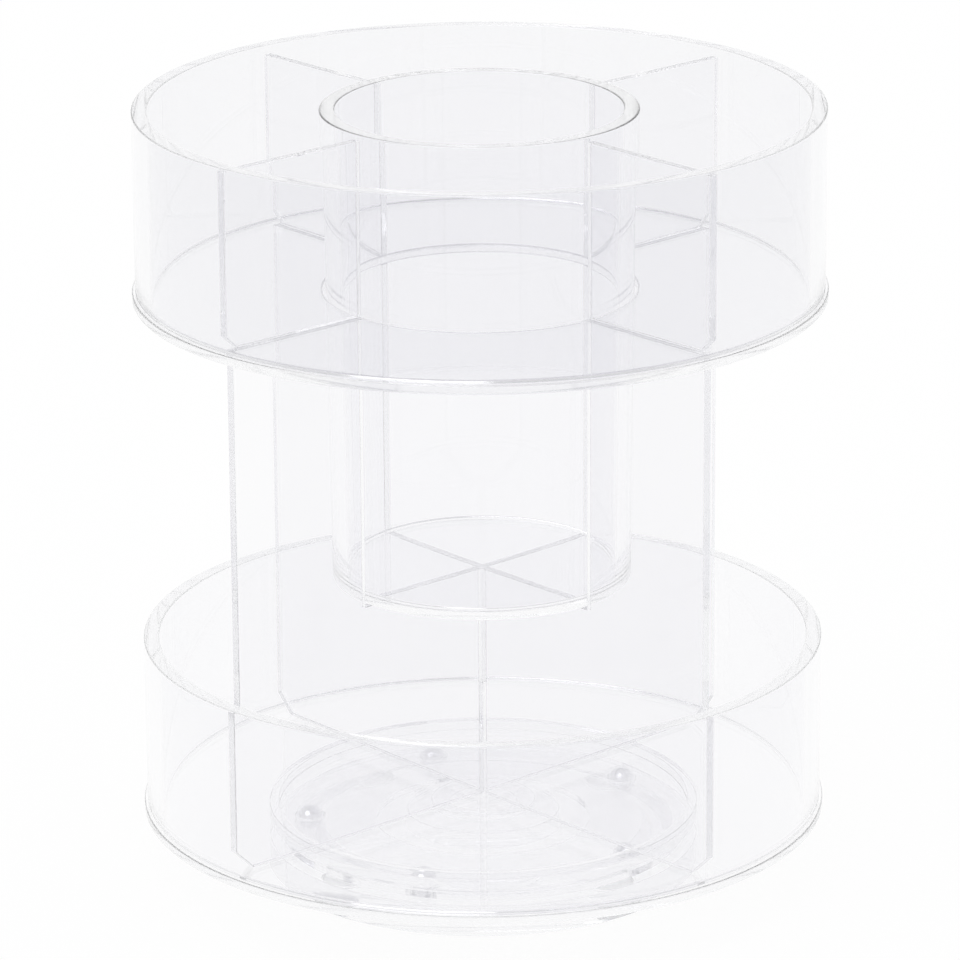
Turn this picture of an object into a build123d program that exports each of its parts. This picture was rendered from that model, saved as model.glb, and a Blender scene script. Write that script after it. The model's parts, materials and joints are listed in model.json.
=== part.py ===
"""Clear rotating makeup stand: two round trays on crossed panels, a drop-in cup and a ball turntable.

Millimetres, +Z up. The origin is the centre of the footprint, on the surface that the stand rests on.
"""

import os
from math import cos, radians, sin

from build123d import *

os.makedirs("parts", exist_ok=True)

# Trays
TRAY_R = 110.0
TRAY_WALL = 5.0
FLOOR_T = 3.0
FLANGE = 1.0
LOWER_WALL_H = 56.0
UPPER_WALL_H = 59.0
RIM_ROUND = 0.5
FLOOR_EDGE_ROUND = 0.5

# Crossed panels between the trays
PANEL_T = 3.0
PANEL_H = 169.5
PANEL_ANGLE = 45.0
PANEL_CHAMFER = 6.5
CUP_SEAT_H = 75.5

# Dividers of the upper tray
DIVIDER_COUNT = 4
DIVIDER_T = 3.0
DIVIDER_DROP = 2.5
DIVIDER_CHAMFER = 4.0

# Centre cup
CUP_R = 50.8
CUP_TAPER = 1.5
CUP_WALL = 5.0
CUP_FLOOR_T = 3.0
CUP_RIM_DROP = 1.0

# Turntable
BASE_T = 9.0
TURNTABLE_FLOOR_T = 2.0
TURNTABLE_WALL = 3.0
PLATE_MARGIN = 13.0
PLATE_EDGE_ROUND = 0.6
BALL_D = 9.5
BALL_COUNT = 5
BALL_CIRCLE_R = 58.0
BALL_ANGLE = 38.0
GROOVE_DEPTH = 4.1
CAGE_T = 2.2
CAGE_INSET = 4.0
HUB_R = 26.0
HUB_TO_CAGE = 10.0
JOURNAL_R = 12.0
RETAINER_LIP = 6.0
RETAINER_T = 1.7

# Non-slip pads
FOOT_COUNT = 4
FOOT_R = 8.0
FOOT_T = 2.0
FOOT_INSET = 4.0
FOOT_POCKET = 1.5
FOOT_CHAMFER = 0.5

# Clearances
WALL_CLEARANCE = 1.0
CUP_CLEARANCE = 0.5
SEAT_CLEARANCE = 0.2
LAP_CLEARANCE = 0.1
BALL_CLEARANCE = 0.3
CAGE_CLEARANCE = 0.4
RUNNING_CLEARANCE = 0.08
AXIAL_CLEARANCE = 0.3
HEAD_CLEARANCE = 1.0
FOOT_CLEARANCE = 0.2

# Radii that follow from the sizes above
panel_r = TRAY_R - TRAY_WALL - WALL_CLEARANCE
cup_hole_r = CUP_R + CUP_CLEARANCE
cup_foot_r = CUP_R - CUP_TAPER
ball_r = BALL_D / 2
groove_r = ball_r + BALL_CLEARANCE
plate_r = BALL_CIRCLE_R + PLATE_MARGIN
cage_r = plate_r - CAGE_INSET
cage_bore_r = HUB_R + HUB_TO_CAGE
journal_bore_r = JOURNAL_R + RUNNING_CLEARANCE
retainer_r = JOURNAL_R + RETAINER_LIP
foot_circle_r = plate_r - FOOT_INSET - FOOT_R

# Heights that follow from the sizes above
plate_gap = 2 * groove_r - GROOVE_DEPTH
base_z = FOOT_T - FOOT_POCKET
base_top = base_z + BASE_T
ball_z = base_top - GROOVE_DEPTH + groove_r
cage_z = base_top + CAGE_CLEARANCE
turntable_z = base_top + plate_gap
journal_top = turntable_z + TURNTABLE_FLOOR_T + AXIAL_CLEARANCE
lower_floor_z = journal_top + RETAINER_T + HEAD_CLEARANCE
lower_well_z = lower_floor_z + FLOOR_T
cup_seat_z = lower_well_z + CUP_SEAT_H
upper_floor_z = lower_well_z + PANEL_H
upper_well_z = upper_floor_z + FLOOR_T
upper_rim_z = upper_well_z + UPPER_WALL_H
cup_z = cup_seat_z + SEAT_CLEARANCE
cup_tube_z = cup_z + CUP_FLOOR_T
cup_rim_z = upper_rim_z - CUP_RIM_DROP
divider_h = UPPER_WALL_H - DIVIDER_DROP


def upright_plane(angle, height):
    """Plane through the axis, with x along the given direction, y up and its origin at the given height."""
    direction = (cos(radians(angle)), sin(radians(angle)), 0)
    normal = (sin(radians(angle)), -cos(radians(angle)), 0)
    return Plane(origin=(0, 0, height), x_dir=direction, z_dir=normal)


# Base plate: disc with the ball track in its top face and the pads' pockets in its underside
with BuildPart() as base_plate:
    with BuildSketch(Plane.XY.offset(base_z)):
        Circle(plate_r)
    extrude(amount=BASE_T)
    fillet(base_plate.edges(), radius=PLATE_EDGE_ROUND)
    with BuildSketch(Plane.XZ):
        with Locations((BALL_CIRCLE_R, ball_z)):
            Circle(groove_r)
    revolve(axis=Axis.Z, mode=Mode.SUBTRACT)
    with BuildSketch(Plane.XY.offset(base_z)):
        with PolarLocations(foot_circle_r, FOOT_COUNT, start_angle=PANEL_ANGLE):
            Circle(FOOT_R + FOOT_CLEARANCE)
    extrude(amount=FOOT_POCKET, mode=Mode.SUBTRACT)
base_plate.part.label = "base_plate"
export_step(base_plate.part, "parts/base_plate.step")

# Non-slip pads, set in the base plate's pockets and standing a little proud
foot_places = PolarLocations(foot_circle_r, FOOT_COUNT, start_angle=PANEL_ANGLE).locations
for number, place in enumerate(foot_places, start=1):
    with BuildPart() as foot_pad:
        with BuildSketch(Plane.XY):
            with Locations(place):
                Circle(FOOT_R)
        extrude(amount=FOOT_T)
        chamfer(foot_pad.edges().group_by(Axis.Z)[0], length=FOOT_CHAMFER)
    foot_pad.part.label = f"foot_pad_{number}"
    export_step(foot_pad.part, f"parts/foot_pad_{number}.step")

# Pivot post: wide shoulder between the plates, and the journal that the turntable runs on
with BuildPart() as pivot_post:
    with BuildSketch(Plane.XY.offset(base_top)):
        Circle(HUB_R)
    extrude(amount=plate_gap - AXIAL_CLEARANCE)
    with BuildSketch(Plane.XY.offset(base_top)):
        Circle(JOURNAL_R)
    extrude(amount=journal_top - base_top)
pivot_post.part.label = "pivot_post"
export_step(pivot_post.part, "parts/pivot_post.step")

# Retainer: disc on the journal's end, over the turntable's floor
with BuildPart() as pivot_retainer:
    with BuildSketch(Plane.XY.offset(journal_top)):
        Circle(retainer_r)
    extrude(amount=RETAINER_T)
pivot_retainer.part.label = "pivot_retainer"
export_step(pivot_retainer.part, "parts/pivot_retainer.step")

# Ball cage: flat ring with one pocket for each ball
with BuildPart() as ball_cage:
    with BuildSketch(Plane.XY.offset(cage_z)):
        Circle(cage_r)
        Circle(cage_bore_r, mode=Mode.SUBTRACT)
        with PolarLocations(BALL_CIRCLE_R, BALL_COUNT, start_angle=BALL_ANGLE):
            Circle(groove_r, mode=Mode.SUBTRACT)
    extrude(amount=CAGE_T)
ball_cage.part.label = "ball_cage"
export_step(ball_cage.part, "parts/ball_cage.step")

# Bearing balls
ball_places = PolarLocations(BALL_CIRCLE_R, BALL_COUNT, start_angle=BALL_ANGLE).locations
for number, place in enumerate(ball_places, start=1):
    with BuildPart() as ball:
        with Locations(place * Location((0, 0, ball_z))):
            Sphere(ball_r)
    ball.part.label = f"ball_{number}"
    export_step(ball.part, f"parts/ball_{number}.step")

# Turntable plate: shallow dish that runs on the balls, with a bore for the journal; its rim carries the tray
with BuildPart() as turntable_plate:
    with BuildSketch(Plane.XY.offset(turntable_z)):
        Circle(plate_r)
    extrude(amount=lower_floor_z - turntable_z)
    fillet(turntable_plate.edges(), radius=PLATE_EDGE_ROUND)
    with BuildSketch(Plane.XY.offset(turntable_z + TURNTABLE_FLOOR_T)):
        Circle(plate_r - TURNTABLE_WALL)
    extrude(amount=lower_floor_z - turntable_z, mode=Mode.SUBTRACT)
    with BuildSketch(Plane.XY.offset(turntable_z)):
        Circle(journal_bore_r)
    extrude(amount=TURNTABLE_FLOOR_T, mode=Mode.SUBTRACT)
turntable_plate.part.label = "turntable_plate"
export_step(turntable_plate.part, "parts/turntable_plate.step")

# Tray floors: discs whose edge stands out as a flange, the upper one with the cup's hole
with BuildPart() as lower_tray_floor:
    with BuildSketch(Plane.XY.offset(lower_floor_z)):
        Circle(TRAY_R + FLANGE)
    extrude(amount=FLOOR_T)
    fillet(lower_tray_floor.edges(), radius=FLOOR_EDGE_ROUND)
lower_tray_floor.part.label = "lower_tray_floor"
export_step(lower_tray_floor.part, "parts/lower_tray_floor.step")

with BuildPart() as upper_tray_floor:
    with BuildSketch(Plane.XY.offset(upper_floor_z)):
        Circle(TRAY_R + FLANGE)
        Circle(cup_hole_r, mode=Mode.SUBTRACT)
    extrude(amount=FLOOR_T)
    fillet(upper_tray_floor.edges(), radius=FLOOR_EDGE_ROUND)
upper_tray_floor.part.label = "upper_tray_floor"
export_step(upper_tray_floor.part, "parts/upper_tray_floor.step")

# Tray walls: tubes with a rounded rim, bonded on the floors
tray_walls = {
    "lower_tray_wall": (lower_well_z, LOWER_WALL_H),
    "upper_tray_wall": (upper_well_z, UPPER_WALL_H),
}
for label, (well_z, wall_h) in tray_walls.items():
    with BuildPart() as tray_wall:
        with BuildSketch(Plane.XY.offset(well_z)):
            Circle(TRAY_R)
            Circle(TRAY_R - TRAY_WALL, mode=Mode.SUBTRACT)
        extrude(amount=wall_h)
        fillet(tray_wall.edges().group_by(Axis.Z)[-1], radius=RIM_ROUND)
    tray_wall.part.label = label
    export_step(tray_wall.part, f"parts/{label}.step")

# Crossed panels: notched for the cup, and halved into each other by a slot from above and one from below
crossed_panels = {
    "panel_a": (PANEL_ANGLE, CUP_SEAT_H / 2 - LAP_CLEARANCE),
    "panel_b": (PANEL_ANGLE + 90, -CUP_SEAT_H / 2),
}
for label, (angle, slot_z) in crossed_panels.items():
    with BuildPart() as panel:
        with BuildSketch(upright_plane(angle, lower_well_z)) as panel_face:
            Rectangle(2 * panel_r, PANEL_H, align=(Align.CENTER, Align.MIN))
            chamfer(panel_face.vertices().group_by(Axis.Y)[0], length=PANEL_CHAMFER)
            with Locations((0, CUP_SEAT_H)):
                Rectangle(2 * cup_hole_r, PANEL_H, align=(Align.CENTER, Align.MIN), mode=Mode.SUBTRACT)
            with Locations((0, slot_z)):
                slot_w = PANEL_T + 2 * LAP_CLEARANCE
                Rectangle(slot_w, CUP_SEAT_H, align=(Align.CENTER, Align.MIN), mode=Mode.SUBTRACT)
        extrude(amount=PANEL_T / 2, both=True)
    panel.part.label = label
    export_step(panel.part, f"parts/{label}.step")

# Dividers: radial plates between the cup and the upper wall, cut at the lower outer corner
for number in range(1, DIVIDER_COUNT + 1):
    divider_angle = PANEL_ANGLE + (number - 1) * 360 / DIVIDER_COUNT
    with BuildPart() as divider:
        with BuildSketch(upright_plane(divider_angle, upper_well_z)) as divider_face:
            with BuildLine():
                Polyline(
                    (cup_hole_r, 0),
                    (panel_r - DIVIDER_CHAMFER, 0),
                    (panel_r, DIVIDER_CHAMFER),
                    (panel_r, divider_h),
                    (cup_hole_r, divider_h),
                    close=True,
                )
            make_face()
        extrude(amount=DIVIDER_T / 2, both=True)
    divider.part.label = f"divider_{number}"
    export_step(divider.part, f"parts/divider_{number}.step")

# Cup: tapered tube with its rounded rim, and the floor disc bonded under it
with BuildPart() as cup_tube:
    with BuildSketch(Plane.XZ):
        with BuildLine():
            Polyline(
                (cup_foot_r - CUP_WALL, cup_tube_z),
                (cup_foot_r, cup_tube_z),
                (CUP_R, cup_rim_z),
                (CUP_R - CUP_WALL, cup_rim_z),
                close=True,
            )
        make_face()
    revolve(axis=Axis.Z)
    fillet(cup_tube.edges().group_by(Axis.Z)[-1], radius=RIM_ROUND)
cup_tube.part.label = "cup_tube"
export_step(cup_tube.part, "parts/cup_tube.step")

with BuildPart() as cup_floor:
    with BuildSketch(Plane.XY.offset(cup_z)):
        Circle(cup_foot_r)
    extrude(amount=CUP_FLOOR_T)
    fillet(cup_floor.edges().group_by(Axis.Z)[0], radius=FLOOR_EDGE_ROUND)
cup_floor.part.label = "cup_floor"
export_step(cup_floor.part, "parts/cup_floor.step")
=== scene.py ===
"""Looks of the clear rotating makeup stand: turned and flat acrylic pieces, ball turntable and studio.

Metres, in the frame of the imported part: +Z up, origin at the centre of the footprint.
"""

import json
import logging
import math
from abc import ABC, abstractmethod
from collections.abc import Mapping, Sequence
from dataclasses import dataclass, field
from enum import Enum
from typing import Any

import bmesh
import bpy
from mathutils import Matrix, Vector

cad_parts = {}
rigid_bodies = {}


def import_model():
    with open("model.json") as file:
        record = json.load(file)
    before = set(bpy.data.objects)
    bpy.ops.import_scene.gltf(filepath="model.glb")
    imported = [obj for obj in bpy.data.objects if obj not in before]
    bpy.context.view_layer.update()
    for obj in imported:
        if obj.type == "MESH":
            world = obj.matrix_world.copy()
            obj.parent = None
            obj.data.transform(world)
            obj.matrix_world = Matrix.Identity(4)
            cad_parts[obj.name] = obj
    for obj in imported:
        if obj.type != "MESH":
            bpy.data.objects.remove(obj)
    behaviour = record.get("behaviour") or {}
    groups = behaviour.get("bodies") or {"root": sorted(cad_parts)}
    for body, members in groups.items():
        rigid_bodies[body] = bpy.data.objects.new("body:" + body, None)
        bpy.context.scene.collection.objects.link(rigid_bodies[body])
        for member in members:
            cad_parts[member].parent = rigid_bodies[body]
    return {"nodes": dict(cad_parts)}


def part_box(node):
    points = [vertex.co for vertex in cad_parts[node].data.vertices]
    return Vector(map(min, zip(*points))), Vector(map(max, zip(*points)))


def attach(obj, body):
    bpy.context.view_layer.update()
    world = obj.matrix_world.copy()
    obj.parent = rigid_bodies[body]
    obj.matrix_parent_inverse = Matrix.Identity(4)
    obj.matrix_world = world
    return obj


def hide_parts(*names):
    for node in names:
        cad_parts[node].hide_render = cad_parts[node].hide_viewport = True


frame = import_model()

LOG = logging.getLogger("makeup_stand")
MM = 0.001
BOND_GAP = 0.05 * MM
CUP_CLEARANCE = 0.5 * MM
WELD = 0.001 * MM

# Points beside a round keep the shading of a run flat, where the run is long enough for them.
SUPPORT = 0.12 * MM
LONG_RUN = 4 * SUPPORT

# How finely rounds and turned pieces are stepped, and the angle from which a corner is shaded sharp.
ARC_STEPS = 10
TURN_SEGMENTS = 256
SMALL_TURN_SEGMENTS = 96
SHARP_ANGLE = math.radians(40.0)

# The photograph's side in pixels, and the camera sensor's in millimetres.
IMAGE_SIDE = 960
SENSOR = 36.0

# Marks on a mesh: 0 where it is polished, 1 on a finished edge and 2 on a raw one, whose dark tint is
# painted shade.
CUT_MARK = "cut"
CUT_FROM = 0.75
RAW_SHADED_FROM = 1.75
RAW_SHADED_MARK = 2.0

# How far a normal leans to a side: the least of an edge break's, and of a face that looks that way.
BREAK_LEAN = 0.2
SAME_WAY = 0.9

Colour = tuple[float, float, float]
Point = tuple[float, float]
MarkedPoint = tuple[float, float, float]
Settings = Mapping[str, Any]
Sockets = Mapping[str | int, Any]


class Stock(Enum):
    """What a face of acrylic comes from, stock or tool, which sets the marks that it carries."""

    SHEET = "sheet"
    TUBE = "tube"
    CAST = "cast"
    MOULDED = "moulded"
    BEARING = "bearing_disc"
    SAWN = "sawn_edge"
    RIM = "polished_rim"
    # Raw-cut faces, whose dark tint is painted shade.
    RAW = "raw_cut"


class Wire:
    """A node socket that works in a Python expression: each operator adds one Math node."""

    def __init__(self, bench: "Bench", socket: bpy.types.NodeSocket) -> None:
        """Keeps the socket, and the bench that new nodes go on."""
        self.bench = bench
        self.socket = socket

    def output(self, name: str) -> "Wire":
        """Another output of the same node."""
        return Wire(self.bench, self.socket.node.outputs[name])

    def _maths(self, operation: str, first: Any, second: Any) -> "Wire":
        """One Math node on two values or sockets."""
        return self.bench.add("ShaderNodeMath", {"operation": operation}, {0: first, 1: second})

    def __add__(self, other: Any) -> "Wire":
        """Sum."""
        return self._maths("ADD", self, other)

    def __sub__(self, other: Any) -> "Wire":
        """Difference."""
        return self._maths("SUBTRACT", self, other)

    def __mul__(self, other: Any) -> "Wire":
        """Product."""
        return self._maths("MULTIPLY", self, other)

    def __pow__(self, other: Any) -> "Wire":
        """Power."""
        return self._maths("POWER", self, other)

    def __radd__(self, other: Any) -> "Wire":
        """Sum, with the plain number first."""
        return self._maths("ADD", other, self)

    def __rsub__(self, other: Any) -> "Wire":
        """Difference, with the plain number first."""
        return self._maths("SUBTRACT", other, self)

    def __rmul__(self, other: Any) -> "Wire":
        """Product, with the plain number first."""
        return self._maths("MULTIPLY", other, self)

    def __rpow__(self, other: Any) -> "Wire":
        """Power, with the plain number first."""
        return self._maths("POWER", other, self)

    def larger(self, other: Any) -> "Wire":
        """The larger of two values."""
        return self._maths("MAXIMUM", self, other)

    def between(self, low: float, high: float) -> "Wire":
        """A share from 0 to 1 turned into a value from low to high."""
        return self * (high - low) + low


def rgba(colour: Colour) -> tuple[float, float, float, float]:
    """A colour with full alpha, as a colour socket takes it."""
    return (*colour, 1.0)


def set_stops(ramp: bpy.types.ColorRamp, stops: Sequence[tuple[float, Colour]]) -> None:
    """Gives a colour ramp its stops.

    Args:
        ramp: the node's ramp.
        stops: each stop's place and colour, in order.
    """
    while len(ramp.elements) < len(stops):
        ramp.elements.new(1.0)
    for element, (place, colour) in zip(ramp.elements, stops):
        element.position = place
        element.color = rgba(colour)


def new_node(
    tree: bpy.types.NodeTree,
    kind: str,
    settings: Settings | None = None,
    sockets: Sockets | None = None,
) -> bpy.types.Node:
    """Adds a node to a material's or a shape's tree.

    Args:
        tree: the tree.
        kind: the node's type name.
        settings: the node's own options, set first; "stops" holds a ramp's places and colours.
        sockets: values, or wires and sockets to link, for its inputs, by name or number.

    Returns:
        The node.
    """
    node = tree.nodes.new(kind)
    for name, value in (settings or {}).items():
        if name == "stops":
            set_stops(node.color_ramp, value)
        else:
            setattr(node, name, value)
    for name, value in (sockets or {}).items():
        source = value.socket if isinstance(value, Wire) else value
        if isinstance(source, bpy.types.NodeSocket):
            tree.links.new(source, node.inputs[name])
        else:
            node.inputs[name].default_value = source
    return node


class Bench:
    """A shader node tree whose nodes come back as wires."""

    def __init__(self, tree: bpy.types.NodeTree) -> None:
        """Starts from an empty tree."""
        self.tree = tree
        self.tree.nodes.clear()

    def add(
        self,
        kind: str,
        settings: Settings | None = None,
        sockets: Sockets | None = None,
        out: str | int = 0,
    ) -> Wire | None:
        """The wire on an output of a new node, or None for a node without outputs."""
        node = new_node(self.tree, kind, settings, sockets)
        return Wire(self, node.outputs[out]) if node.outputs else None

    def grey_noise(self, where: Wire, scale: float, detail: float = 2.0) -> Wire:
        """Smooth noise from 0 to 1 at a scale in repeats per metre."""
        return self.add(
            "ShaderNodeTexNoise", {}, {"Vector": where, "Scale": scale, "Detail": detail}, "Fac"
        )

    def blend(self, share: Wire, first: Any, second: Any) -> Wire:
        """A colour between two colours."""
        return self.add(
            "ShaderNodeMix", {"data_type": "RGBA"}, {"Factor": share, "A": first, "B": second}, "Result"
        )


class Finish(ABC):
    """A finish as a node material, on the coordinates of the piece that wears it."""

    def material(self) -> bpy.types.Material:
        """Builds the finish.

        Returns:
            The node material.
        """
        material = bpy.data.materials.new(self.label())
        material.use_nodes = True
        bench = Bench(material.node_tree)
        place = bench.add("ShaderNodeTexCoord", out="Object")
        bench.add("ShaderNodeOutputMaterial", {}, {"Surface": self.surface(bench, place)})
        return material

    @abstractmethod
    def label(self) -> str:
        """The material's name."""

    @abstractmethod
    def surface(self, bench: Bench, place: Wire) -> Wire:
        """The shader.

        Args:
            bench: the material's tree.
            place: the piece's coordinates.

        Returns:
            The shader's wire.
        """


@dataclass(frozen=True)
class ClearAcrylic(Finish):
    """Clear acrylic: bends light, takes a little on the way through, and carries a faint polish haze."""

    stock: Stock
    ior: float = 1.49
    clear: float = 1.0
    tint_clean: Colour = (1.0, 1.0, 1.0)
    tint_handled: Colour = (0.990, 0.989, 0.994)
    polish: float = 0.0
    haze: float = 0.03
    haze_scale: float = 55.0
    haze_detail: float = 4.0
    haze_falloff: float = 4.0
    ripple_scale: float = 34.0
    ripple_height: float = 0.004 * MM
    ripple_strength: float = 0.6
    drawn_out: float = 0.08

    def label(self) -> str:
        """The material's name."""
        return f"clear_acrylic_{self.stock.value}"

    def surface(self, bench: Bench, place: Wire) -> Wire:
        """The shader.

        Args:
            bench: the material's tree.
            place: the piece's coordinates.

        Returns:
            The shader's wire.
        """
        handled = bench.grey_noise(place, self.haze_scale, self.haze_detail)
        tint = bench.blend(handled, rgba(self.tint_clean), rgba(self.tint_handled))
        smear = (handled ** self.haze_falloff).between(self.polish, self.haze)
        ripple = bench.grey_noise(self._stretched(bench, place), self.ripple_scale)
        bump = bench.add(
            "ShaderNodeBump",
            {},
            {"Height": ripple, "Distance": self.ripple_height, "Strength": self.ripple_strength},
        )
        return bench.add(
            "ShaderNodeBsdfPrincipled",
            {},
            {
                "Base Color": tint,
                "Roughness": smear,
                "IOR": self.ior,
                "Transmission Weight": self.clear,
                "Normal": bump,
            },
        )

    def _stretched(self, bench: Bench, place: Wire) -> Wire:
        """Coordinates that draw the ripple out along a tube's length."""
        upright = self.drawn_out if self.stock in (Stock.TUBE, Stock.CAST) else 1.0
        return bench.add("ShaderNodeMapping", {}, {"Vector": place, "Scale": (1.0, 1.0, upright)})


@dataclass(frozen=True)
class PolishedSteel(Finish):
    """Bearing balls: bright steel with faint rolling marks."""

    light: Colour = (0.86, 0.86, 0.88)
    dark: Colour = (0.75, 0.75, 0.77)
    metal: float = 1.0
    polish: float = 0.07
    dull: float = 0.16
    mark_scale: float = 900.0
    mark_detail: float = 3.0

    def label(self) -> str:
        """The material's name."""
        return "polished_steel"

    def surface(self, bench: Bench, place: Wire) -> Wire:
        """The shader.

        Args:
            bench: the material's tree.
            place: the piece's coordinates.

        Returns:
            The shader's wire.
        """
        marks = bench.grey_noise(place, self.mark_scale, self.mark_detail)
        colour = bench.blend(marks, rgba(self.light), rgba(self.dark))
        return bench.add(
            "ShaderNodeBsdfPrincipled",
            {},
            {
                "Base Color": colour,
                "Metallic": self.metal,
                "Roughness": marks.between(self.polish, self.dull),
            },
        )


@dataclass(frozen=True)
class ClearSilicone(Finish):
    """Non-slip pads: soft clear rubber with a satin skin."""

    clean: Colour = (0.93, 0.94, 0.95)
    dusty: Colour = (0.84, 0.85, 0.87)
    ior: float = 1.41
    clear: float = 0.9
    satin: float = 0.22
    matt: float = 0.38
    dust_scale: float = 300.0
    dust_detail: float = 3.0

    def label(self) -> str:
        """The material's name."""
        return "clear_silicone"

    def surface(self, bench: Bench, place: Wire) -> Wire:
        """The shader.

        Args:
            bench: the material's tree.
            place: the piece's coordinates.

        Returns:
            The shader's wire.
        """
        dust = bench.grey_noise(place, self.dust_scale, self.dust_detail)
        colour = bench.blend(dust, rgba(self.clean), rgba(self.dusty))
        return bench.add(
            "ShaderNodeBsdfPrincipled",
            {},
            {
                "Base Color": colour,
                "Roughness": dust.between(self.satin, self.matt),
                "IOR": self.ior,
                "Transmission Weight": self.clear,
            },
        )


@dataclass(frozen=True)
class WhiteSweep(Finish):
    """Studio floor: pale matt paper, shown white to the eye and in glass, with a share of its shadow."""

    colour: Colour = (0.95, 0.95, 0.95)
    worn: Colour = (0.93, 0.93, 0.93)
    white: Colour = (1.0, 1.0, 1.0)
    white_share: float = 0.97
    grain_scale: float = 3.0

    def label(self) -> str:
        """The material's name."""
        return "white_sweep"

    def surface(self, bench: Bench, place: Wire) -> Wire:
        """The shader.

        Args:
            bench: the material's tree.
            place: the piece's coordinates.

        Returns:
            The shader's wire.
        """
        grain = bench.grey_noise(place, self.grain_scale)
        paper = bench.add(
            "ShaderNodeBsdfDiffuse", {}, {"Color": bench.blend(grain, rgba(self.colour), rgba(self.worn))}
        )
        glow = bench.add("ShaderNodeEmission", {}, {"Color": rgba(self.white), "Strength": 1.0})
        path = bench.add("ShaderNodeLightPath", out="Is Camera Ray")
        glass = path.output("Is Glossy Ray").larger(path.output("Is Transmission Ray"))
        share = path.larger(glass) * self.white_share
        return bench.add("ShaderNodeMixShader", {}, {0: share, 1: paper, 2: glow})


@dataclass(frozen=True)
class Corner:
    """A corner of an outline: its place and round, whether the run on from it is sawn, and if it's raw,
    with painted shade.
    """

    across: float
    up: float
    round: float = 0.0
    cut_on: bool = False
    raw: bool = False


@dataclass
class Outline:
    """Corners joined by straight runs, each corner rounded, with support points beside the rounds."""

    corners: Sequence[Corner]
    closed: bool = True

    def points(self) -> list[MarkedPoint]:
        """Rounds the corners and adds the support points.

        Returns:
            The outline as marked points, in order.
        """
        found: list[MarkedPoint] = []
        count = len(self.corners)
        for number, corner in enumerate(self.corners):
            span = self._rounded(number)
            sawn = corner.cut_on or self.corners[number - 1].cut_on
            # Raw corners are marked for the dark tint of painted shade.
            mark = RAW_SHADED_MARK if corner.raw else float(sawn)
            found.extend((*point, mark) for point in span)
            if self.closed or number + 1 < count:
                following = self._rounded((number + 1) % count)
                supports = self._supports(span[-1], following[0])
                found.extend((*point, float(corner.cut_on)) for point in supports)
        return found

    def _rounded(self, number: int) -> list[Point]:
        """Rounds one corner.

        Args:
            number: which corner.

        Returns:
            The corner itself, or the points of the arc that rounds it.
        """
        corner = self.corners[number]
        here = Vector((corner.across, corner.up))
        if corner.round == 0.0:
            return [tuple(here)]
        before = self.corners[number - 1]
        after = self.corners[(number + 1) % len(self.corners)]
        back = (Vector((before.across, before.up)) - here).normalized()
        on = (Vector((after.across, after.up)) - here).normalized()
        half = back.angle(on) / 2
        centre = here + (back + on).normalized() * corner.round / math.sin(half)
        start = here + back * corner.round / math.tan(half) - centre
        turn = math.copysign(math.pi - 2 * half, back.y * on.x - back.x * on.y)
        arc = []
        for step in range(ARC_STEPS + 1):
            arc.append(tuple(centre + Matrix.Rotation(turn * step / ARC_STEPS, 2) @ start))
        return arc

    @staticmethod
    def _supports(start: Point, end: Point) -> list[Point]:
        """Supports one straight run.

        Args:
            start: where the run starts.
            end: where it ends.

        Returns:
            Two points near the ends of a long run, or none on a short one.
        """
        here, there = Vector(start), Vector(end)
        along = there - here
        if along.length < LONG_RUN:
            return []
        inset = along.normalized() * SUPPORT
        return [tuple(here + inset), tuple(there - inset)]


def disc_section(
    radius: float,
    bottom: float,
    top: float,
    rounds: tuple[float, float] = (0.0, 0.0),
    cut_edge: bool = False,
) -> Outline:
    """A disc's half section, as a line from the axis to the axis.

    Args:
        radius: the disc's radius.
        bottom: the height of its underside.
        top: the height of its top face.
        rounds: the rounds of its lower and its upper edge.
        cut_edge: whether its edge is sawn.

    Returns:
        The open outline.
    """
    lower, upper = rounds
    edge = [Corner(radius, bottom, lower, cut_on=cut_edge), Corner(radius, top, upper)]
    return Outline([Corner(0.0, bottom), *edge, Corner(0.0, top)], closed=False)


def arc_corners(centre: Point, radius: float, start: float, end: float, steps: int) -> list[Corner]:
    """Corners along an arc.

    Args:
        centre: the arc's centre, across and up.
        radius: its radius.
        start: where it starts, in radians from straight down.
        end: where it ends.
        steps: how many steps it has.

    Returns:
        The points, in order.
    """
    across, up = centre
    corners = []
    for step in range(steps + 1):
        angle = start + (end - start) * step / steps
        corners.append(Corner(across + radius * math.sin(angle), up - radius * math.cos(angle)))
    return corners


@dataclass(frozen=True)
class Dressing:
    """The materials of one piece: its faces, its finished edges and its raw-cut edges, whose dark tint is
    painted shade.
    """

    face: bpy.types.Material
    edge: bpy.types.Material
    # The raw edges' material, whose dark tint is painted shade.
    raw: bpy.types.Material

    @classmethod
    def plain(cls, material: bpy.types.Material) -> "Dressing":
        """One material all over."""
        return cls(material, material, material)

    def inputs(self) -> dict[str, bpy.types.Material]:
        """The materials by the node trees' input names."""
        return {"Material": self.face, "Edge Material": self.edge, "Raw Material": self.raw}


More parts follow.
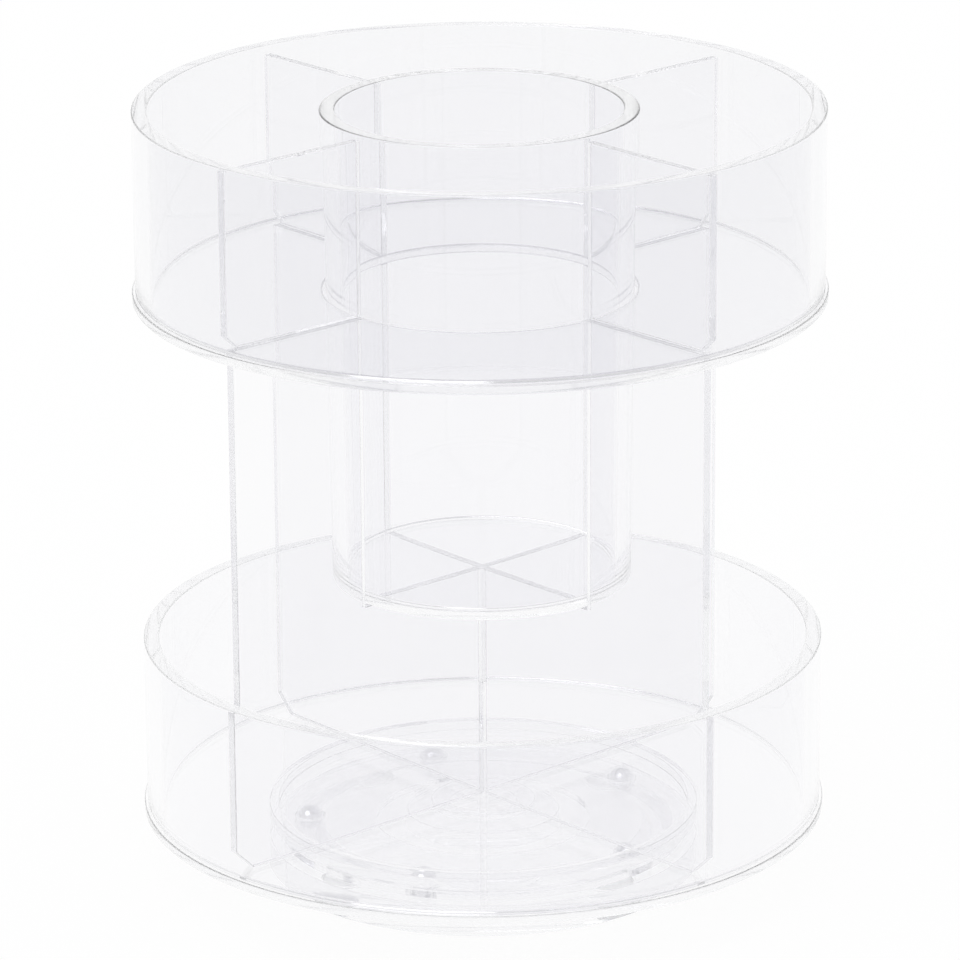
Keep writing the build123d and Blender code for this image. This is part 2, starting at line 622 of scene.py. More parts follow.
class NodeTree:
    """A Geometry Nodes tree whose named inputs are set on a modifier by their identifiers."""

    def __init__(self, name: str, inputs: Mapping[str, str]) -> None:
        """Starts the tree.

        Args:
            name: the tree's name.
            inputs: the socket type of each named input, beside the geometry and the materials.
        """
        self.tree = bpy.data.node_groups.new(name, "GeometryNodeTree")
        materials = dict.fromkeys(("Material", "Edge Material", "Raw Material"), "NodeSocketMaterial")
        named = {"Geometry": "NodeSocketGeometry", **inputs, **materials}
        self.ids = {}
        for label, kind in named.items():
            socket = self.tree.interface.new_socket(label, in_out="INPUT", socket_type=kind)
            self.ids[label] = socket.identifier
        self.tree.interface.new_socket("Geometry", in_out="OUTPUT", socket_type="NodeSocketGeometry")
        self.given = self.tree.nodes.new("NodeGroupInput")

    def add(
        self, kind: str, settings: Settings | None = None, sockets: Sockets | None = None
    ) -> bpy.types.Node:
        """A new node on the tree."""
        return new_node(self.tree, kind, settings, sockets)

    def input(self, label: str) -> bpy.types.NodeSocket:
        """The socket of a named input."""
        return self.given.outputs[label]

    def close(self, geometry: bpy.types.NodeSocket) -> None:
        """Ends the tree: instances made real, the material set, and the edge materials on marked faces.

        Args:
            geometry: the socket with the finished shape.
        """
        real = self.add("GeometryNodeRealizeInstances", {}, {"Geometry": geometry})
        dressed = self.add(
            "GeometryNodeSetMaterial",
            {},
            {"Geometry": real.outputs["Geometry"], "Material": self.input("Material")},
        )
        mark = self.add("GeometryNodeInputNamedAttribute", {"data_type": "FLOAT"}, {"Name": CUT_MARK})
        # Marked raw faces take the material whose dark tint is painted shade.
        for least, label in ((CUT_FROM, "Edge Material"), (RAW_SHADED_FROM, "Raw Material")):
            marked = self.add(
                "FunctionNodeCompare",
                {"data_type": "FLOAT", "operation": "GREATER_THAN"},
                {0: mark.outputs["Attribute"], 1: least},
            )
            dressed = self.add(
                "GeometryNodeSetMaterial",
                {},
                {
                    "Geometry": dressed.outputs["Geometry"],
                    "Selection": marked.outputs["Result"],
                    "Material": self.input(label),
                },
            )
        self.add("NodeGroupOutput", {}, {"Geometry": dressed.outputs["Geometry"]})

    def run(self, mesh: bpy.types.Mesh, values: Mapping[str, Any]) -> bpy.types.Mesh:
        """Runs the tree on a mesh.

        Args:
            mesh: what goes in.
            values: the named inputs.

        Returns:
            The plain mesh that comes out.
        """
        carrier = linked("carrier", mesh)
        modifier = carrier.modifiers.new("nodes", "NODES")
        modifier.node_group = self.tree
        for label, value in values.items():
            modifier[self.ids[label]] = value
        made = baked(carrier)
        bpy.data.objects.remove(carrier)
        return made


def linked(name: str, data: bpy.types.ID) -> bpy.types.Object:
    """A new object in the scene, at the origin.

    Args:
        name: the object's name.
        data: its mesh, lamp or camera.

    Returns:
        The object.
    """
    thing = bpy.data.objects.new(name, data)
    bpy.context.scene.collection.objects.link(thing)
    return thing


def baked(thing: bpy.types.Object) -> bpy.types.Mesh:
    """The plain mesh of an object with its modifiers applied."""
    graph = bpy.context.evaluated_depsgraph_get()
    return bpy.data.meshes.new_from_object(thing.evaluated_get(graph))


class Lathe(NodeTree):
    """Turns a half section round the upright axis, for every round piece of the stand."""

    def __init__(self) -> None:
        """Builds the tree: the section swept along a circle, welded and shaded smooth."""
        super().__init__(
            "turned_piece",
            {
                "Path Radius": "NodeSocketFloat",
                "Segments": "NodeSocketInt",
                "Weld Distance": "NodeSocketFloat",
            },
        )
        section = self.add("GeometryNodeMeshToCurve", {}, {"Mesh": self.input("Geometry")})
        circle = self.add(
            "GeometryNodeCurvePrimitiveCircle",
            {},
            {"Resolution": self.input("Segments"), "Radius": self.input("Path Radius")},
        )
        path = self.add("GeometryNodeSetCurveNormal", {"mode": "Z_UP"}, {"Curve": circle.outputs["Curve"]})
        swept = self.add(
            "GeometryNodeCurveToMesh",
            {},
            {"Curve": path.outputs["Curve"], "Profile Curve": section.outputs["Curve"]},
        )
        welded = self.add(
            "GeometryNodeMergeByDistance",
            {},
            {"Geometry": swept.outputs["Mesh"], "Distance": self.input("Weld Distance")},
        )
        smooth = self.add("GeometryNodeSetShadeSmooth", {}, {"Geometry": welded.outputs["Geometry"]})
        self.close(smooth.outputs["Geometry"])

    def turn(
        self,
        outline: Outline,
        dressing: Dressing,
        segments: int = TURN_SEGMENTS,
    ) -> bpy.types.Mesh:
        """Makes a round piece.

        Args:
            outline: the half section, as a loop or as a line that starts and ends on the axis.
            dressing: the piece's materials.
            segments: how many steps go round.

        Returns:
            The closed mesh, facing outwards.
        """
        points = outline.points()
        count = len(points)
        path_radius = max(radius for radius, _, _ in points)
        mesh = bpy.data.meshes.new("section")
        edges = [(number, (number + 1) % count) for number in range(count if outline.closed else count - 1)]
        mesh.from_pydata([(radius - path_radius, -height, 0.0) for radius, height, _ in points], edges, [])
        mark = mesh.attributes.new(CUT_MARK, "FLOAT", "POINT")
        for number, (_, _, cut) in enumerate(points):
            mark.data[number].value = cut
        made = self.run(
            mesh,
            {
                "Path Radius": path_radius,
                "Segments": segments,
                "Weld Distance": WELD,
                **dressing.inputs(),
            },
        )
        face_outwards(made)
        return made


class PolarCopies(NodeTree):
    """Sets copies of one piece at even angles round the upright axis."""

    def __init__(self) -> None:
        """Builds the tree: points on the axis, with one turned instance on each."""
        super().__init__("copies_round_axis", {"Count": "NodeSocketInt", "Start Angle": "NodeSocketFloat"})
        points = self.add("GeometryNodePoints", {}, {"Count": self.input("Count")})
        number = self.add("GeometryNodeInputIndex")
        step = self.add("ShaderNodeMath", {"operation": "DIVIDE"}, {0: math.tau, 1: self.input("Count")})
        angle = self.add(
            "ShaderNodeMath",
            {"operation": "MULTIPLY_ADD"},
            {0: number.outputs[0], 1: step.outputs[0], 2: self.input("Start Angle")},
        )
        turn = self.add("ShaderNodeCombineXYZ", {}, {"Z": angle.outputs[0]})
        copies = self.add(
            "GeometryNodeInstanceOnPoints",
            {},
            {
                "Points": points.outputs["Points"],
                "Instance": self.input("Geometry"),
                "Rotation": turn.outputs["Vector"],
            },
        )
        self.close(copies.outputs["Instances"])

    def copy(
        self,
        mesh: bpy.types.Mesh,
        count: int,
        start: float,
        dressing: Dressing,
    ) -> bpy.types.Mesh:
        """Makes the copies.

        Args:
            mesh: the piece at angle 0.
            count: how many copies.
            start: the first copy's angle in radians.
            dressing: the copies' materials.

        Returns:
            One mesh with all copies.
        """
        return self.run(mesh, {"Count": count, "Start Angle": start, **dressing.inputs()})


def face_outwards(mesh: bpy.types.Mesh) -> None:
    """Turns a closed mesh's faces outwards.

    Args:
        mesh: the mesh, changed in place.
    """
    work = bmesh.new()
    work.from_mesh(mesh)
    bmesh.ops.recalc_face_normals(work, faces=work.faces)
    work.to_mesh(mesh)
    work.free()


def cut_away(mesh: bpy.types.Mesh, cutter: bpy.types.Mesh) -> bpy.types.Mesh:
    """Cuts one closed mesh out of another.

    Args:
        mesh: the piece.
        cutter: what is cut away.

    Returns:
        The cut piece, with the new corners shaded sharp.
    """
    piece = linked("piece", mesh)
    tool = linked("tool", cutter)
    cut = piece.modifiers.new("cut", "BOOLEAN")
    cut.operation = "DIFFERENCE"
    cut.object = tool
    made = baked(piece)
    for thing in (piece, tool):
        bpy.data.objects.remove(thing)
    made.set_sharp_from_angle(angle=SHARP_ANGLE)
    return made


@dataclass(frozen=True)
class NodeSize:
    """What a round CAD node's box says of it."""

    radius: float
    bottom: float
    top: float

    @classmethod
    def of(cls, node: str) -> "NodeSize":
        """Reads a node's box."""
        low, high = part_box(node)
        return cls(max(high.x, -low.x), low.z, high.z)


def cup_opening() -> float:
    """The radius that the upper floor, the panels and the dividers leave free for the cup."""
    return NodeSize.of("cup_tube").radius + CUP_CLEARANCE


@dataclass
class Workshop:
    """The trees and materials that the sub-assemblies share."""

    lathe: Lathe = field(default_factory=Lathe)
    copies: PolarCopies = field(default_factory=PolarCopies)
    acrylic: dict[Stock, bpy.types.Material] = field(init=False)
    steel: bpy.types.Material = field(init=False)
    silicone: bpy.types.Material = field(init=False)

    def __post_init__(self) -> None:
        """Makes the materials."""
        finishes = (
            ClearAcrylic(
                Stock.SHEET,
                tint_clean=(0.974, 0.9733, 0.980),
                tint_handled=(0.962, 0.9613, 0.969),
            ),
            ClearAcrylic(
                Stock.TUBE,
                tint_clean=(0.946, 0.946, 0.956),
                tint_handled=(0.934, 0.934, 0.946),
            ),
            ClearAcrylic(
                Stock.CAST,
                tint_clean=(0.974, 0.9733, 0.981),
                tint_handled=(0.962, 0.9613, 0.971),
            ),
            ClearAcrylic(Stock.MOULDED),
            ClearAcrylic(
                Stock.BEARING,
                tint_handled=(0.980, 0.979, 0.985),
                polish=0.02,
                haze=0.12,
            ),
            ClearAcrylic(
                Stock.SAWN,
                tint_clean=(0.96, 0.96, 0.966),
                tint_handled=(0.93, 0.93, 0.938),
                polish=0.10,
                haze=0.22,
            ),
            ClearAcrylic(
                Stock.RIM,
                tint_clean=(0.972, 0.972, 0.978),
                tint_handled=(0.940, 0.940, 0.948),
                polish=0.05,
                haze=0.11,
            ),
            # Raw-cut faces: these dark tints paint shade along feet, along edges that face the axis and
            # round the cup's hole.
            ClearAcrylic(
                Stock.RAW,
                tint_clean=(0.80, 0.80, 0.83),
                tint_handled=(0.50, 0.50, 0.53),
                polish=0.08,
                haze=0.25,
            ),
        )
        self.acrylic = {finish.stock: finish.material() for finish in finishes}
        self.steel = PolishedSteel().material()
        self.silicone = ClearSilicone().material()

    def dress(self, face: Stock, edge: Stock) -> Dressing:
        """The materials of an acrylic piece."""
        return Dressing(self.acrylic[face], self.acrylic[edge], self.acrylic[Stock.RAW])

    @staticmethod
    def place(name: str, mesh: bpy.types.Mesh, body: str, slot: str, nodes: Sequence[str]) -> None:
        """Puts a finished mesh in the scene in place of its CAD nodes.

        Args:
            name: the piece's name.
            mesh: its mesh, in the part's frame.
            body: the CAD body that it rides on.
            slot: the record's material slot; not used.
            nodes: the CAD nodes that it stands for.
        """
        mesh.name = name
        piece = linked(name, mesh)
        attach(piece, body)
        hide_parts(*nodes)
        LOG.info("%s: %d faces on body %s", name, len(mesh.polygons), body)


@dataclass
class Tray:
    """A round tray: a floor disc whose edge stands out as a flange, and a tube wall bonded on it."""

    level: str
    wall_stock: Stock
    floor_stock: Stock
    wall: float = 5.0 * MM
    rim_round: float = 0.5 * MM
    flange_round: float = 0.5 * MM
    foot_round: float = 0.6 * MM
    # Whether the wall's foot takes the raw material's painted shade.
    raw_shaded_foot: bool = False
    hole_radius: float = 0.0

    def build(self, shop: Workshop) -> None:
        """Makes the floor and the wall.

        Args:
            shop: the shared trees and materials.
        """
        self._wall(shop)
        self._floor(shop)

    def _wall(self, shop: Workshop) -> None:
        """Tube with a rounded rim.

        Args:
            shop: the shared trees and materials.
        """
        node = f"{self.level}_tray_wall"
        size = NodeSize.of(node)
        inner = size.radius - self.wall
        bottom = size.bottom + BOND_GAP
        outline = Outline(
            [
                # Where the foot is raw, it takes the raw material's painted shade.
                Corner(inner, bottom, self.foot_round, cut_on=True, raw=self.raw_shaded_foot),
                Corner(size.radius, bottom, self.foot_round),
                Corner(size.radius, size.top, self.rim_round, cut_on=True),
                Corner(inner, size.top, self.rim_round),
            ]
        )
        mesh = shop.lathe.turn(outline, shop.dress(self.wall_stock, Stock.RIM))
        shop.place(f"{self.level}_wall", mesh, "carousel", "clear_acrylic", [node])

    def _floor(self, shop: Workshop) -> None:
        """Disc, or ring where the cup passes through, with rounded edges.

        Args:
            shop: the shared trees and materials.
        """
        node = f"{self.level}_tray_floor"
        size = NodeSize.of(node)
        edge = [
            Corner(size.radius, size.bottom, self.flange_round, cut_on=True),
            Corner(size.radius, size.top, self.flange_round),
        ]
        if self.hole_radius:
            inner_edge = [
                # The hole's edge takes the raw material's painted shade.
                Corner(self.hole_radius, size.top, self.flange_round, cut_on=True, raw=True),
                Corner(self.hole_radius, size.bottom, self.flange_round, raw=True),
            ]
            outline = Outline([*edge, *inner_edge])
        else:
            outline = Outline([Corner(0.0, size.bottom), *edge, Corner(0.0, size.top)], closed=False)
        mesh = shop.lathe.turn(outline, shop.dress(self.floor_stock, Stock.RIM))
        shop.place(f"{self.level}_floor", mesh, "carousel", "clear_acrylic", [node])


@dataclass
class Cup:
    """The drop-in cup: a tapered tube with a rounded rim on its own floor disc."""

    taper: float = 1.5 * MM
    wall: float = 5.0 * MM
    rim_round: float = 0.5 * MM
    edge_round: float = 0.5 * MM
    foot_round: float = 0.3 * MM

    def build(self, shop: Workshop) -> None:
        """Makes the tube and the floor.

        Args:
            shop: the shared trees and materials.
        """
        tube = NodeSize.of("cup_tube")
        disc = NodeSize.of("cup_floor")
        bottom = tube.bottom + BOND_GAP
        foot = tube.radius - self.taper
        outline = Outline(
            [
                Corner(foot - self.wall, bottom, self.foot_round, cut_on=True),
                # The tube's outer foot takes the raw material's painted shade.
                Corner(foot, bottom, self.foot_round, raw=True),
                Corner(tube.radius, tube.top, self.rim_round, cut_on=True),
                Corner(tube.radius - self.wall, tube.top, self.rim_round),
            ]
        )
        mesh = shop.lathe.turn(outline, shop.dress(Stock.CAST, Stock.RIM))
        shop.place("cup_wall", mesh, "cup", "clear_acrylic", ["cup_tube"])
        outline = disc_section(
            disc.radius, disc.bottom, disc.top, (self.edge_round, self.foot_round), cut_edge=True
        )
        mesh = shop.lathe.turn(outline, shop.dress(Stock.CAST, Stock.RIM))
        shop.place("cup_base", mesh, "cup", "clear_acrylic", ["cup_floor"])


@dataclass(frozen=True)
class RawShadedSide:
    """A side left as it was cut, with painted shade: the faces whose normals lean towards it by an amount
    in a range.
    """

    inwards: float
    up: float
    least: float = SAME_WAY
    most: float = math.inf

    def holds(self, inwards: float, up: float) -> bool:
        """Whether a face with this normal belongs to the side."""
        return self.least < inwards * self.inwards + up * self.up < self.most


@dataclass
class SheetCutter:
    """Cuts flat pieces from sheet: an outline made thick, with fine edge breaks.

    The foot, and the breaks of the edges that face the axis, stay raw, with painted shade.
    """

    thickness: float = 3.0 * MM
    edge_break: float = 0.2 * MM
    break_steps: int = 2
    # The foot and the inner edge breaks take the raw material's painted shade.
    raw_shaded_foot: RawShadedSide = RawShadedSide(0.0, -1.0)
    raw_shaded_inner_break: RawShadedSide = RawShadedSide(1.0, 0.0, least=BREAK_LEAN, most=SAME_WAY)

    def cut(self, outline: Sequence[Point], angle: float, dressing: Dressing) -> bpy.types.Mesh:
        """Cuts an upright piece.

        Args:
            outline: (across, up) points, anticlockwise.
            angle: the direction of across, in radians from +X.
            dressing: the piece's materials.

        Returns:
            The bevelled mesh.
        """
        work = bmesh.new()
        half = self.thickness / 2
        corners = [work.verts.new((across, -half, up)) for across, up in outline]
        face = work.faces.new(corners)
        raised = bmesh.ops.extrude_face_region(work, geom=[face])["geom"]
        moved = [part for part in raised if isinstance(part, bmesh.types.BMVert)]
        bmesh.ops.translate(work, verts=moved, vec=(0.0, self.thickness, 0.0))
        bmesh.ops.recalc_face_normals(work, faces=work.faces)
        bmesh.ops.rotate(work, verts=work.verts, matrix=Matrix.Rotation(angle, 3, "Z"))
        mesh = bpy.data.meshes.new("sheet")
        work.to_mesh(mesh)
        work.free()
        for material in dressing.inputs().values():
            mesh.materials.append(material)
        blank = linked("blank", mesh)
        bevel = blank.modifiers.new("edge_break", "BEVEL")
        bevel.width = self.edge_break
        bevel.segments = self.break_steps
        made = baked(blank)
        bpy.data.objects.remove(blank)
        self._mark_edges(made, angle)
        return made

    def _mark_edges(self, mesh: bpy.types.Mesh, angle: float) -> None:
        """Marks the raw faces, which take painted shade, and the sawn ones: the rest, but for the broad
        sides and the upper edges.

        Args:
            mesh: the sheet.
            angle: the direction of across, in radians from +X.
        """
        turned_back = Matrix.Rotation(-angle, 3, "Z")
        mark = mesh.attributes.new(CUT_MARK, "FLOAT", "FACE")
        for number, face in enumerate(mesh.polygons):
            across, broad, up = turned_back @ face.normal
            inwards = -math.copysign(across, across * (turned_back @ face.center).x)
            level = float(abs(broad) < SAME_WAY and up < SAME_WAY)
            # Raw faces take the dark tint of painted shade.
            if self.raw_shaded_foot.holds(inwards, up) or self.raw_shaded_inner_break.holds(inwards, up):
                level = RAW_SHADED_MARK
            face.material_index = int(level)
            mark.data[number].value = level


@dataclass
class CrossedPanels:
    """Two upright panels, notched for the cup and halved into each other where they cross."""

    cutter: SheetCutter = field(default_factory=SheetCutter)
    angle: float = math.radians(45.0)
    foot_cut: float = 6.5 * MM
    seat_clearance: float = 0.2 * MM
    lap_clearance: float = 0.1 * MM

    def build(self, shop: Workshop) -> None:
        """Makes both panels.

        Args:
            shop: the shared trees and materials.
        """
        low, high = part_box("panel_a")
        seat = NodeSize.of("cup_floor").bottom - self.seat_clearance
        middle = (low.z + seat) / 2
        for node, angle, slot_down in (
            ("panel_a", self.angle, True),
            ("panel_b", self.angle + math.pi / 2, False),
        ):
            outline = self._outline(low.z + BOND_GAP, high.z - BOND_GAP, high.x, seat, middle, slot_down)
            dressing = shop.dress(Stock.SHEET, Stock.SAWN)
            mesh = self.cutter.cut(outline, angle, dressing)
            shop.place(f"cross_{node}", mesh, "carousel", "clear_acrylic", [node])

    def _outline(
        self, bottom: float, top: float, reach_x: float, seat: float, middle: float, slot_down: bool
    ) -> list[Point]:
        """One panel's outline.

        Args:
            bottom: height of its lower edge.
            top: height of its upper edge.
            reach_x: how far its box goes along X.
            seat: height of the cup's seat.
            middle: height where the two slots meet.
            slot_down: whether the slot is cut from above.

        Returns:
            The points, anticlockwise.
        """
        reach = reach_x / math.cos(self.angle) - self.cutter.thickness / 2
        notch = cup_opening()
        slot = self.cutter.thickness / 2 + self.lap_clearance
        foot = [(-reach + self.foot_cut, bottom), (reach - self.foot_cut, bottom)]
        if slot_down:
            below = foot
            above = [(slot, seat), (slot, middle - self.lap_clearance)]
        else:
            below = [foot[0], (-slot, bottom), (-slot, middle), (slot, middle), (slot, bottom), foot[1]]
            above = []
        right = [(reach, bottom + self.foot_cut), (reach, top), (notch, top), (notch, seat), *above]
        left = [(-across, up) for across, up in reversed(right)]
        return [*below, *right, *left]


@dataclass
class Dividers:
    """Radial plates of the upper tray, cut at the lower outer corner."""

    cutter: SheetCutter = field(default_factory=lambda: SheetCutter(edge_break=0.4 * MM))
    count: int = 4
    start: float = math.radians(45.0)
    corner_cut: float = 4.0 * MM

    def build(self, shop: Workshop) -> None:
        """Makes the set from one plate.

        Args:
            shop: the shared trees and materials.
        """
        low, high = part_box("divider_1")
        inner = cup_opening()
        outer = high.x / math.cos(self.start) - self.cutter.thickness / 2
        bottom = low.z + BOND_GAP
        outline = [
            (inner, bottom),
            (outer - self.corner_cut, bottom),
            (outer, bottom + self.corner_cut),
            (outer, high.z),
            (inner, high.z),
        ]
        dressing = shop.dress(Stock.SHEET, Stock.SAWN)
        plate = self.cutter.cut(outline, 0.0, dressing)
        mesh = shop.copies.copy(plate, self.count, self.start, dressing)
        nodes = [f"divider_{number}" for number in range(1, self.count + 1)]
        shop.place("tray_dividers", mesh, "carousel", "clear_acrylic", nodes)


@dataclass
class Turntable:
    """Base plate with the ball track, the dish that runs on the balls, pivot, retainer, cage and pads."""

    edge_round: float = 0.2 * MM
    track_clearance: float = 0.3 * MM
    dish_wall: float = 3.0 * MM
    dish_floor: float = 2.0 * MM
    dish_round: float = 0.3 * MM
    journal_radius: float = 12.0 * MM
    running_clearance: float = 0.08 * MM
    axial_clearance: float = 0.3 * MM
    shoulder_round: float = 0.3 * MM
    pad_round: float = 0.5 * MM
    pad_top_round: float = 0.25 * MM
    pad_clearance: float = 0.2 * MM
    cutter_reach: float = 1.0 * MM
    pad_count: int = 4
    pad_start: float = math.radians(45.0)
    ball_count: int = 5
    arc_steps: int = 16

    def build(self, shop: Workshop) -> None:
        """Makes every piece of the turntable.

        Args:
            shop: the shared trees and materials.
        """
        self._base_plate(shop)
        self._dish(shop)
        self._pivot(shop)
        self._balls(shop)
        self._pads(shop)
        frame["nodes"]["ball_cage"].data.materials[0] = shop.acrylic[Stock.BEARING]
        LOG.info("ball_cage: its own shape, with a better material")

    @staticmethod
    def _turned(shop: Workshop, outline: Outline, segments: int = TURN_SEGMENTS) -> bpy.types.Mesh:
        """A round moulded piece of the bearing, from its half section."""
        return shop.lathe.turn(outline, shop.dress(Stock.MOULDED, Stock.RIM), segments)

    def _track(self, height: float) -> list[Corner]:
        """The ball track's arc in the base plate, from its outer edge inwards.

        Args:
            height: the height of the plate's top face.

        Returns:
            The arc's points as corners.
        """
        low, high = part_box("ball_1")
        centre = (low + high) / 2
        circle = math.hypot(centre.x, centre.y)
        radius = (high.z - low.z) / 2 + self.track_clearance
        spread = math.acos((centre.z - height) / radius)
        return arc_corners((circle, centre.z), radius, spread, -spread, self.arc_steps)

    def _base_plate(self, shop: Workshop) -> None:
        """Lower disc, with the track in its top face and the pads' pockets in its underside.

        Args:
            shop: the shared trees and materials.
        """
        size = NodeSize.of("base_plate")
        corners = [
            Corner(0.0, size.bottom),
            Corner(size.radius, size.bottom, self.edge_round, cut_on=True),
            Corner(size.radius, size.top, self.edge_round),
            *self._track(size.top),
            Corner(0.0, size.top),
        ]
        disc = self._turned(shop, Outline(corners, closed=False))
        low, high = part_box("foot_pad_1")
        radius = (high.x - low.x) / 2 + self.pad_clearance
        pocket = disc_section(radius, low.z - self.cutter_reach, high.z)
        mesh = cut_away(disc, self._pad_shapes(shop, pocket, shop.acrylic[Stock.MOULDED]))
        shop.place("base_disc", mesh, "base", "clear_acrylic", ["base_plate"])

    def _dish(self, shop: Workshop) -> None:
        """Shallow dish with the journal's bore; its rim carries the lower tray.

        Args:
            shop: the shared trees and materials.
        """
        size = NodeSize.of("turntable_plate")
        top = size.top - BOND_GAP
        bore = self.journal_radius + self.running_clearance
        inside = size.radius - self.dish_wall
        floor = size.bottom + self.dish_floor
        corners = [
            Corner(bore, size.bottom),
            Corner(size.radius, size.bottom, self.edge_round, cut_on=True),
            Corner(size.radius, top, self.edge_round),
            Corner(inside, top),
            Corner(inside, floor, self.dish_round),
            Corner(bore, floor),
        ]
        mesh = self._turned(shop, Outline(corners))
        shop.place("turntable_dish", mesh, "carousel", "clear_acrylic", ["turntable_plate"])

    def _pivot(self, shop: Workshop) -> None:
        """Post with its shoulder and journal, and the retainer disc on top.

        Args:
            shop: the shared trees and materials.
        """
        post = NodeSize.of("pivot_post")
        retainer = NodeSize.of("pivot_retainer")
        shoulder = NodeSize.of("turntable_plate").bottom - self.axial_clearance
        corners = [
            Corner(0.0, post.bottom + BOND_GAP),
            Corner(post.radius, post.bottom + BOND_GAP, self.shoulder_round),
            Corner(post.radius, shoulder, self.shoulder_round),
            Corner(self.journal_radius, shoulder),
            Corner(self.journal_radius, post.top),
            Corner(0.0, post.top),
        ]
        mesh = self._turned(shop, Outline(corners, closed=False), SMALL_TURN_SEGMENTS)
        shop.place("pivot", mesh, "base", "clear_acrylic", ["pivot_post"])
        rounds = (self.shoulder_round, self.shoulder_round)
        washer = disc_section(retainer.radius, retainer.bottom + BOND_GAP, retainer.top, rounds)
        mesh = self._turned(shop, washer, SMALL_TURN_SEGMENTS)
        shop.place("pivot_washer", mesh, "base", "clear_acrylic", ["pivot_retainer"])

    def _balls(self, shop: Workshop) -> None:
        """Bearing balls, each on its own body.

        Args:
            shop: the shared trees and materials.
        """
        for number in range(1, self.ball_count + 1):
            node = f"ball_{number}"
            low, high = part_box(node)
            radius = (high.z - low.z) / 2
            half_circle = arc_corners((0.0, 0.0), radius, 0.0, math.pi, 2 * self.arc_steps)
            outline = Outline(half_circle, closed=False)
            mesh = shop.lathe.turn(outline, Dressing.plain(shop.steel), SMALL_TURN_SEGMENTS)
            mesh.transform(Matrix.Translation((low + high) / 2))
            shop.place(f"bearing_{node}", mesh, node, "bearing_steel", [node])

    def _pad_shapes(
        self, shop: Workshop, outline: Outline, material: bpy.types.Material
    ) -> bpy.types.Mesh:
        """One round shape at each pad's place.

        Args:
            shop: the shared trees and materials.
            outline: the shape's half section, from the axis to the axis.
            material: the shapes' material.

        Returns:
            One mesh with all of them.
        """
        low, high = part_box("foot_pad_1")
        centre = (low + high) / 2
        dressing = Dressing.plain(material)
        shape = shop.lathe.turn(outline, dressing, SMALL_TURN_SEGMENTS)
        shape.transform(Matrix.Translation((math.hypot(centre.x, centre.y), 0.0, 0.0)))
        return shop.copies.copy(shape, self.pad_count, self.pad_start, dressing)

    def _pads(self, shop: Workshop) -> None:
        """Non-slip pads, set in the base disc's pockets.

        Args:
            shop: the shared trees and materials.
        """
        low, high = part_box("foot_pad_1")
        radius = (high.x - low.x) / 2
        rounds = (self.pad_round, self.pad_top_round)
        pad = disc_section(radius, low.z, high.z - BOND_GAP, rounds)
        mesh = self._pad_shapes(shop, pad, shop.silicone)
        nodes = [f"foot_pad_{number}" for number in range(1, self.pad_count + 1)]
        shop.place("foot_pads", mesh, "base", "clear_silicone", nodes)


def direction(azimuth: float, elevation: float) -> Vector:
    """The way from the stand at an azimuth from its front and an elevation, in radians."""
    flat = math.cos(elevation)
    return Vector((flat * math.sin(azimuth), -flat * math.cos(azimuth), math.sin(elevation)))


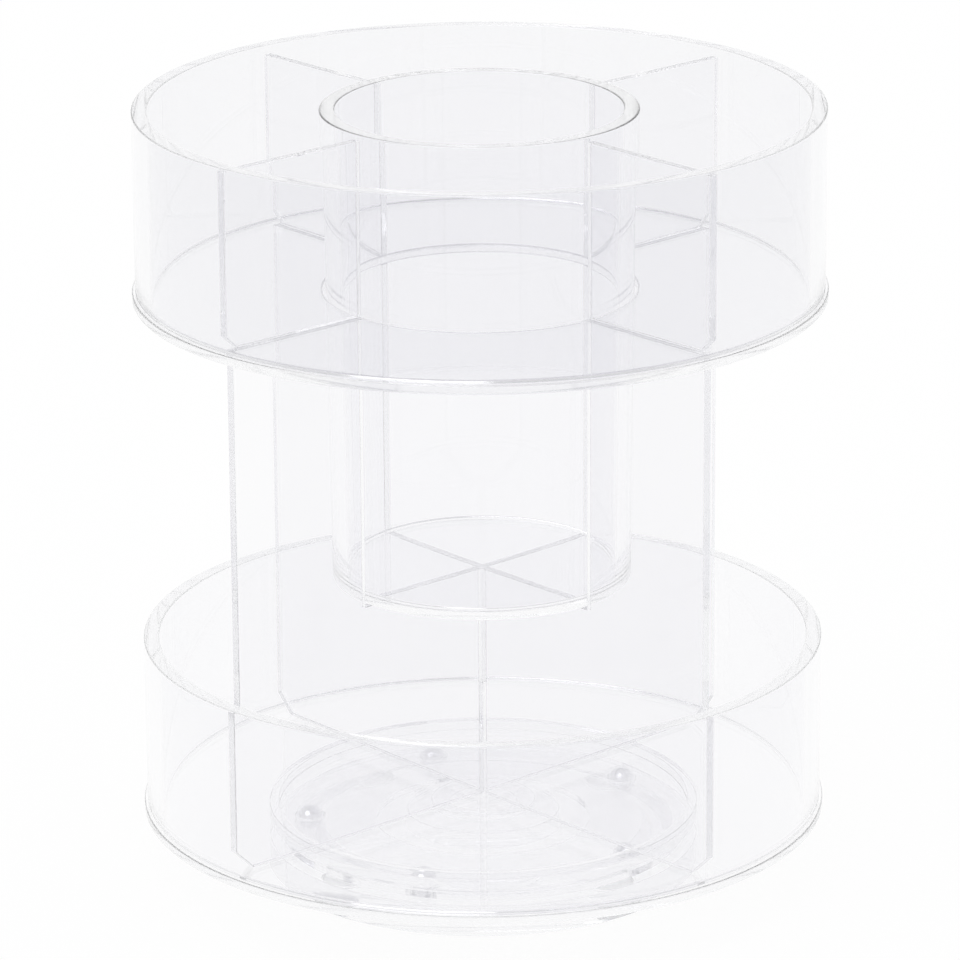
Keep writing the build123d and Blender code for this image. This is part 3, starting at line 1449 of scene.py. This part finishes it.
@dataclass
class Studio:
    """Pale floor, soft light from above and the camera at the photograph's angle."""

    floor_reach: float = 30.0
    look_at_height: float = 145.5 * MM
    distance: float = 1875.2 * MM
    azimuth: float = math.radians(3.0)
    elevation: float = math.radians(17.655)
    roll: float = math.radians(-0.355)
    focal_pixels: float = 5828.7
    look_at_column: float = 481.6
    look_at_row: float = 433.97
    horizon: Colour = (1.0, 1.0, 1.0)
    horizon_up_to: float = 0.36
    zenith: Colour = (0.70, 0.70, 0.72)
    zenith_from: float = 0.85
    sun_strength: float = 0.66
    sun_width: float = math.radians(40.0)
    sun_elevation: float = math.radians(62.0)
    sun_azimuth: float = math.radians(-35.0)
    most_bounces: int = 128

    def build(self) -> None:
        """Makes the floor, the light and the camera."""
        self._floor()
        self._sky()
        self._sun()
        self._camera()
        scene = bpy.context.scene
        scene.view_settings.view_transform = "Standard"
        scene.cycles.max_bounces = self.most_bounces
        scene.cycles.transmission_bounces = self.most_bounces
        scene.cycles.glossy_bounces = self.most_bounces
        scene.cycles.transparent_max_bounces = self.most_bounces

    def _floor(self) -> None:
        """Wide matt floor, which isn't part of the stand."""
        mesh = bpy.data.meshes.new("floor")
        reach = self.floor_reach
        corners = [(-reach, -reach, 0.0), (reach, -reach, 0.0), (reach, reach, 0.0), (-reach, reach, 0.0)]
        mesh.from_pydata(corners, [], [(0, 1, 2, 3)])
        mesh.materials.append(WhiteSweep().material())
        floor = linked("studio_floor", mesh)

    def _sky(self) -> None:
        """White at the horizon, greyer overhead, the same from every side."""
        world = bpy.data.worlds.new("studio")
        world.use_nodes = True
        bpy.context.scene.world = world
        bench = Bench(world.node_tree)
        way = bench.add("ShaderNodeTexCoord", out="Generated")
        height = bench.add("ShaderNodeSeparateXYZ", {}, {"Vector": way}, "Z")
        stops = [
            (0.0, self.horizon),
            (self.horizon_up_to, self.horizon),
            (self.zenith_from, self.zenith),
            (1.0, self.zenith),
        ]
        colour = bench.add("ShaderNodeValToRGB", {"stops": stops}, {"Fac": height}, "Color")
        light = bench.add("ShaderNodeBackground", {}, {"Color": colour, "Strength": 1.0})
        bench.add("ShaderNodeOutputWorld", {}, {"Surface": light})

    def _sun(self) -> None:
        """One wide soft lamp from above."""
        lamp = bpy.data.lights.new("soft_key", "SUN")
        lamp.energy = self.sun_strength
        lamp.angle = self.sun_width
        sun = linked("soft_key", lamp)
        towards = direction(self.sun_azimuth, self.sun_elevation)
        sun.rotation_euler = towards.to_track_quat("Z", "Y").to_euler()

    def _camera(self) -> None:
        """Long lens, tilted so that the stand sits in the frame as in the photograph."""
        data = bpy.data.cameras.new("photo_camera")
        data.sensor_width = SENSOR
        data.lens = self.focal_pixels * SENSOR / IMAGE_SIDE
        camera = linked("photo_camera", data)
        tilt = math.atan((IMAGE_SIDE / 2 - self.look_at_row) / self.focal_pixels)
        pan = math.atan((self.look_at_column - IMAGE_SIDE / 2) / self.focal_pixels)
        look_at = Vector((0.0, 0.0, self.look_at_height))
        camera.location = look_at + direction(self.azimuth, self.elevation) * self.distance
        back = direction(self.azimuth, self.elevation + tilt)
        facing = (-back).to_track_quat("-Z", "Y").to_matrix()
        turn = Matrix.Rotation(pan, 3, "Y") @ Matrix.Rotation(self.roll, 3, "Z")
        camera.rotation_euler = (facing @ turn).to_euler()
        bpy.context.scene.camera = camera


def main() -> None:
    logging.basicConfig(level=logging.INFO, format="%(name)s: %(message)s")
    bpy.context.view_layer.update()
    shop = Workshop()
    for part in (
        Tray("lower", Stock.CAST, Stock.MOULDED),
        Tray("upper", Stock.TUBE, Stock.CAST, raw_shaded_foot=True, hole_radius=cup_opening()),
        CrossedPanels(),
        Dividers(),
        Cup(),
        Turntable(),
    ):
        part.build(shop)
    Studio().build()


if __name__ == "__main__":
    main()
